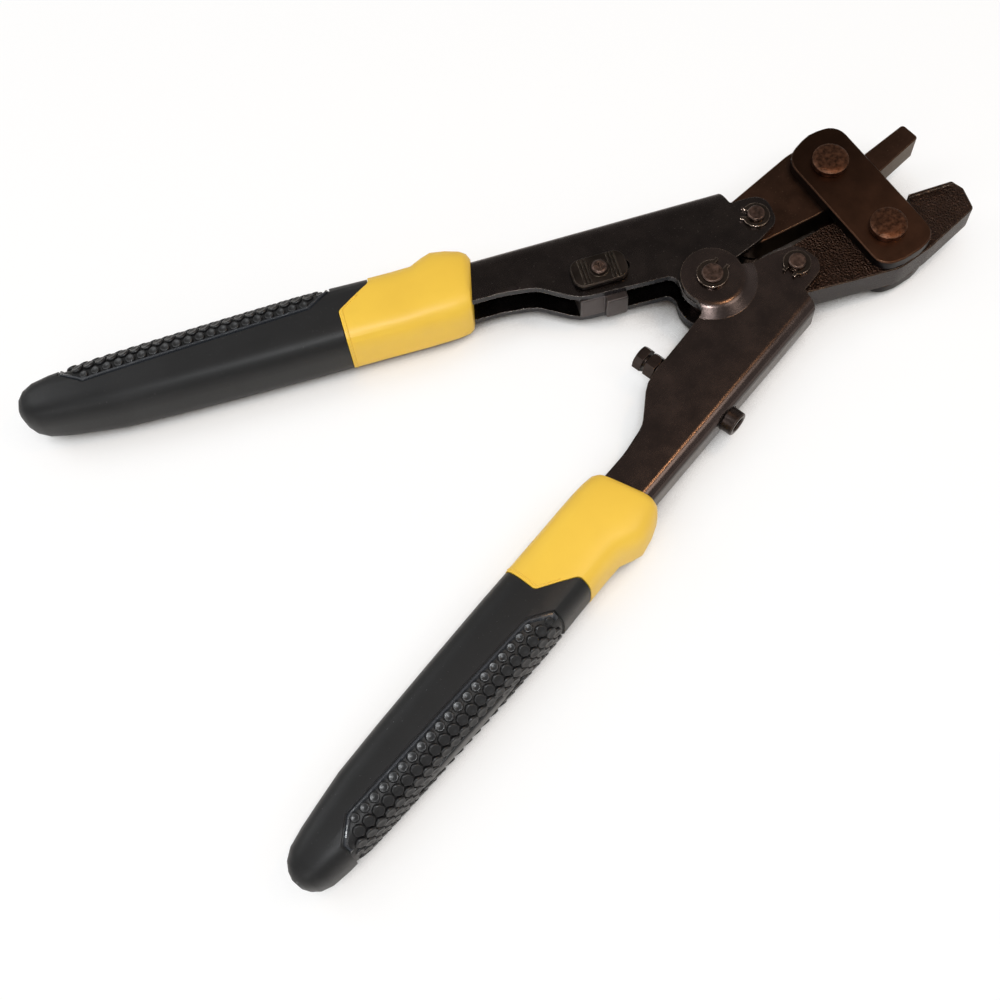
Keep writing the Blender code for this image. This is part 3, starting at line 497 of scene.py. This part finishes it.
def tread(tag, side, skin, look):
    """Rows of scales over the top, the spine side and the bottom of a grip."""
    bm = bmesh.new()
    row_pitch = SCALE_PITCH * math.sqrt(3) / 2
    rows = int(TREAD_REACH / row_pitch)
    for r in range(-rows, rows + 1):
        s = r * row_pitch
        shift = (r % 2) * SCALE_PITCH / 2
        x = PANEL[0][0] - TREAD_START - shift
        while x > PANEL[-1][0]:
            p = skin.from_spine(x, s)
            depth = inside(x, p.y, PANEL)
            lens = ((x - LENS_X) / LENS_HALF_L) ** 2 + (s / LENS_HALF_W) ** 2
            within = depth - SCALE_KEEP_OFF + SCALE_BAND
            if within > 0.0 and lens > 1.0:
                size = min(1.0, SCALE_SMALLEST + (1.0 - SCALE_SMALLEST) * within / SCALE_BAND)
                add_scale(bm, p, skin.normal(p), size)
            x -= SCALE_PITCH
    new_piece(tag + "_tread_scales", bm, handle_matrix(side), tag + "_handle",
              look)


def smooth_lens(tag, side, skin, look):
    """Bare pad in the middle of the tread's spine side, level with the scales."""
    bm = bmesh.new()
    rings = []
    for share, rise in LENS_PROFILE:
        ring = []
        for k in range(LENS_SIDES):
            a = 2 * math.pi * k / LENS_SIDES
            x = LENS_X + (LENS_HALF_L - LENS_RIM_L) * share * math.cos(a)
            s = (LENS_HALF_W - LENS_RIM_W) * share * math.sin(a)
            p = skin.from_spine(x, s)
            ring.append(bm.verts.new(p + skin.normal(p) * LENS_H * rise))
        rings.append(ring)
    loft(bm, rings)
    bm.faces.new(rings[-1])
    bm.faces.new(rings[0][::-1])
    new_piece(tag + "_tread_pad", bm, handle_matrix(side), tag + "_handle", look)


def sampled(path, step):
    """Points along a path of straight lines, about a step apart."""
    pts = []
    for (ax, ay), (bx, by) in zip(path, path[1:]):
        n = max(1, round(math.hypot(bx - ax, by - ay) / step))
        pts += [(ax + (bx - ax) * k / n, ay + (by - ay) * k / n) for k in range(n)]
    return pts + [path[-1]]


def inward(path, distance):
    """The panel edge moved towards the panel's middle, or outwards if distance is negative."""
    out = []
    for i, (x, y) in enumerate(path):
        total = Vector((0.0, 0.0))
        first = max(0, i - 1)
        for (ax, ay), (bx, by) in zip(path[first:], path[first + 1:i + 2]):
            total += Vector((-(by - ay), bx - ax)).normalized()
        n = total.normalized()
        if n.dot(Vector((PANEL_MID[0] - x, PANEL_MID[1] - y))) < 0:
            n = -n
        stretch = 1.0 / max(0.6, abs(n.dot(total)) / max(1, round(total.length)))
        out.append((x + n.x * distance * stretch, y + n.y * distance * stretch))
    return out


def border_ribs(tag, side, skin, look):
    """Chamfered rib that runs inside the panel wall on the top and bottom sides."""
    bm = bmesh.new()
    outer_line = sampled(inward(PANEL, RIB_GAP), RIB_STEP)
    inner_line = sampled(inward(PANEL, RIB_GAP + RIB_WIDTH), RIB_STEP)
    wall_line = sampled(inward(PANEL, -WALL_OUT), RIB_STEP)
    count = min(len(outer_line), len(inner_line), len(wall_line))

    def pick(line, k):
        return line[min(len(line) - 1, round(k * (len(line) - 1) / (count - 1)))]

    for top in (True, False):
        up = 1.0 if top else -1.0
        rings = []
        for k in range(count):
            c, f, w = pick(outer_line, k), pick(inner_line, k), pick(wall_line, k)
            bed = skin.on_side(f[0], f[1], top).z
            crest = skin.on_side(w[0], w[1], top).z + up * RIB_PROUD
            low, deep = bed + up * RIB_FOOT, bed - up * RIB_ROOT
            a, b = ([c[i] * (1 - u) + f[i] * u for i in (0, 1)] for u in RIB_CREST)
            ring = [(*c, low), (*a, crest), (*b, crest), (*f, low), (*f, deep), (*c, deep)]
            rings.append([bm.verts.new(p) for p in ring])
        loft(bm, rings)
        bm.faces.new(rings[0][::-1])
        bm.faces.new(rings[-1])
    new_piece(tag + "_tread_border", bm, handle_matrix(side), tag + "_handle",
              look, smooth=False)


def joint_x(y):
    """x of the joint between collar and grip at y."""
    return float(np.interp(y, [p[1] for p in JOINT_LINE], [p[0] for p in JOINT_LINE]))


def collar_rim(tag, side, skin, look):
    """Raised bead around the collar, just in front of its joint with the grip."""
    bm = bmesh.new()
    rings = []
    for k in range(RIM_STEPS):
        a = 2 * math.pi * k / RIM_STEPS
        x = RIM_FIRST_X
        for _ in range(RIM_TRIES):
            p = skin.hit(x, a)
            x = joint_x(p.y) + RIM_BACK
        p = skin.hit(x, a)
        n = skin.normal(p)
        ring = []
        for j in range(RIM_SIDES):
            t = 2 * math.pi * j / RIM_SIDES
            ring.append(bm.verts.new(p + ALONG * (RIM_R * math.cos(t))
                                     + n * (RIM_R * RIM_FLAT * math.sin(t))))
        rings.append(ring)
    loft(bm, rings, closed=True)
    new_piece(tag + "_collar_rim", bm, handle_matrix(side), tag + "_handle",
              look)


def stop_thread(look):
    """Thread between the stop bolt's head and its jam nut."""
    axis = Vector(STOP["axis"]).normalized()
    turn = axis.to_track_quat("Z", "Y").to_matrix().to_4x4()
    place = Matrix.Translation(Vector(STOP["pos_m"])) @ turn @ Matrix.Scale(MM, 4)
    bm = bmesh.new()
    rings, y, k = [], THREAD_Y[0], 0
    while y <= THREAD_Y[1] + 1e-6:
        r = THREAD_R if k % 2 else THREAD_R - THREAD_DEPTH
        angles = [2 * math.pi * j / THREAD_SIDES for j in range(THREAD_SIDES)]
        rings.append([bm.verts.new((r * math.cos(a), r * math.sin(a), y)) for a in angles])
        y, k = y + THREAD_PITCH / 2, k + 1
    loft(bm, rings)
    bm.faces.new(rings[0][::-1])
    bm.faces.new(rings[-1])
    new_piece("stop_bolt_thread", bm, place, "stop_bolt", look, smooth=False)


# studio

def floor():
    """Pale floor, near white to the camera where it lies open, with the tool's own shadow and a
    painted dark-brown shadow where the tool hems it in.
    """
    mesh = bpy.data.meshes.new("floor")
    corners = ((-1, -1), (1, -1), (1, 1), (-1, 1))
    mesh.from_pydata([(x * FLOOR_HALF, y * FLOOR_HALF, 0) for x, y in corners], [],
                     [(0, 1, 2, 3)])
    m, t, s = new_material("floor_white")
    s.inputs["Roughness"].default_value = 0.9
    s.inputs["Specular IOR Level"].default_value = 0.1
    glow = node(t, "ShaderNodeEmission", Color=(1.0, 1.0, 1.0, 1.0), Strength=1.04)
    seen = node(t, "ShaderNodeLightPath").outputs["Is Camera Ray"]
    open_sky = node(t, "ShaderNodeAmbientOcclusion", {"samples": 8}, Distance=30.0 * MM)
    clear = remap(t, open_sky.outputs["AO"], 0.25, 0.85)
    place = node(t, "ShaderNodeNewGeometry").outputs["Position"]
    away = node(t, "ShaderNodeVectorMath", {"operation": "LENGTH"}, Vector=place)
    share = remap(t, away.outputs["Value"], 0.8, 2.0, 0.78, 1.0)   # white at the horizon
    fac = math_node(t, "MULTIPLY", math_node(t, "MULTIPLY", seen, clear), share)
    # painted shadow: the floor's colour turns dark brown where the tool hems it in
    deep = remap(t, open_sky.outputs["AO"], 0.28, 0.52)
    t.links.new(mix(t, deep, (0.10, 0.075, 0.058, 1.0), (0.93, 0.92, 0.905, 1.0)),
                s.inputs["Base Color"])
    blend = node(t, "ShaderNodeMixShader")
    t.links.new(fac, blend.inputs[0])
    t.links.new(s.outputs[0], blend.inputs[1])
    t.links.new(glow.outputs[0], blend.inputs[2])
    out = next(n for n in t.nodes if n.type == "OUTPUT_MATERIAL")
    t.links.new(blend.outputs[0], out.inputs[0])
    mesh.materials.append(m)
    ob = bpy.data.objects.new("floor", mesh)
    bpy.context.scene.collection.objects.link(ob)


def world():
    """White behind the tool; for light and reflections bright low down and dim overhead."""
    w = bpy.data.worlds.new("studio")
    bpy.context.scene.world = w
    w.use_nodes = True
    t = w.node_tree
    t.nodes.clear()
    out = node(t, "ShaderNodeOutputWorld")
    up = node(t, "ShaderNodeSeparateXYZ",
              Vector=node(t, "ShaderNodeTexCoord").outputs["Generated"]).outputs[2]
    level = remap(t, up, 0.15, 0.85, 0.50, 0.20)
    soft = node(t, "ShaderNodeBackground", Color=(1.0, 0.985, 0.96, 1.0), Strength=level)
    white = node(t, "ShaderNodeBackground", Color=(1.0, 1.0, 1.0, 1.0), Strength=1.0)
    blend = node(t, "ShaderNodeMixShader")
    t.links.new(node(t, "ShaderNodeLightPath").outputs["Is Camera Ray"], blend.inputs[0])
    t.links.new(soft.outputs[0], blend.inputs[1])
    t.links.new(white.outputs[0], blend.inputs[2])
    t.links.new(blend.outputs[0], out.inputs[0])


def direction(azimuth, elevation):
    a, e = math.radians(azimuth), math.radians(elevation)
    return Vector((math.cos(e) * math.cos(a), math.cos(e) * math.sin(a), math.sin(e)))


def lamp(name, azimuth, elevation, distance, size, power, rgb=(1.0, 1.0, 1.0)):
    """Round soft lamp that faces the frame's origin."""
    data = bpy.data.lights.new(name, "AREA")
    data.shape, data.size, data.energy, data.color = "DISK", size, power, rgb
    out = direction(azimuth, elevation)
    ob = bpy.data.objects.new(name, data)
    ob.location = out * distance
    ob.rotation_euler = out.to_track_quat("Z", "Y").to_euler()
    bpy.context.scene.collection.objects.link(ob)


def camera():
    """The photograph's camera."""
    data = bpy.data.cameras.new("camera")
    data.sensor_width, data.lens = 36.0, CAM_LENS
    data.clip_start, data.clip_end = 0.01, 20.0
    out = direction(CAM_AZ, CAM_EL)
    ob = bpy.data.objects.new("camera", data)
    turn = out.to_track_quat("Z", "Y").to_matrix().to_4x4()
    ob.matrix_world = (Matrix.Translation((Vector(CAM_TARGET) + out * CAM_DISTANCE) * MM) @ turn
                       @ Matrix.Rotation(math.radians(CAM_ROLL), 4, "Z"))
    bpy.context.scene.collection.objects.link(ob)
    bpy.context.scene.camera = ob


# build

looks = dress()
# lighter, bluish copy of the grip rubber: a painted highlight along the border rib
rib_highlight_rubber = plastic("rib_highlight_rubber", (0.030, 0.034, 0.041), (0.022, 0.025, 0.030), 0.28,
                     spec=0.7, grain=2.0, bump=0.06)
scale_rubber = plastic("tread_rubber", (0.0115, 0.0118, 0.0128), (0.0085, 0.0087, 0.0095), 0.33,
                       spec=0.5, grain=2.0, bump=0.12, dust=0.25)
for tag, side in (("left", 1), ("right", -1)):
    grip_skin = Skin(tag + "_grip", side)
    tread(tag, side, grip_skin, scale_rubber)
    smooth_lens(tag, side, grip_skin, scale_rubber)
    border_ribs(tag, side, grip_skin, rib_highlight_rubber)
    collar_rim(tag, side, Skin(tag + "_collar", side), looks["collar"])
stop_thread(looks["stop_bolt"])

floor()
world()
# name, azimuth and elevation in degrees, distance and size in metres, watts, colour
lamp("flash", -118.0, 66.0, 1.0, 0.12, 3.9, (0.94, 0.97, 1.0))
lamp("warm", -18.0, 68.0, 0.95, 0.05, 1.0, (1.0, 0.60, 0.30))
lamp("key", -47.0, 52.0, 0.95, 0.34, 1.1, (1.0, 0.95, 0.88))
lamp("fill", 130.0, 42.0, 1.1, 0.6, 2.8, (0.96, 0.98, 1.0))
lamp("low", -150.0, 28.0, 1.1, 0.5, 1.5)
camera()
bpy.context.scene.view_settings.view_transform = "Standard"
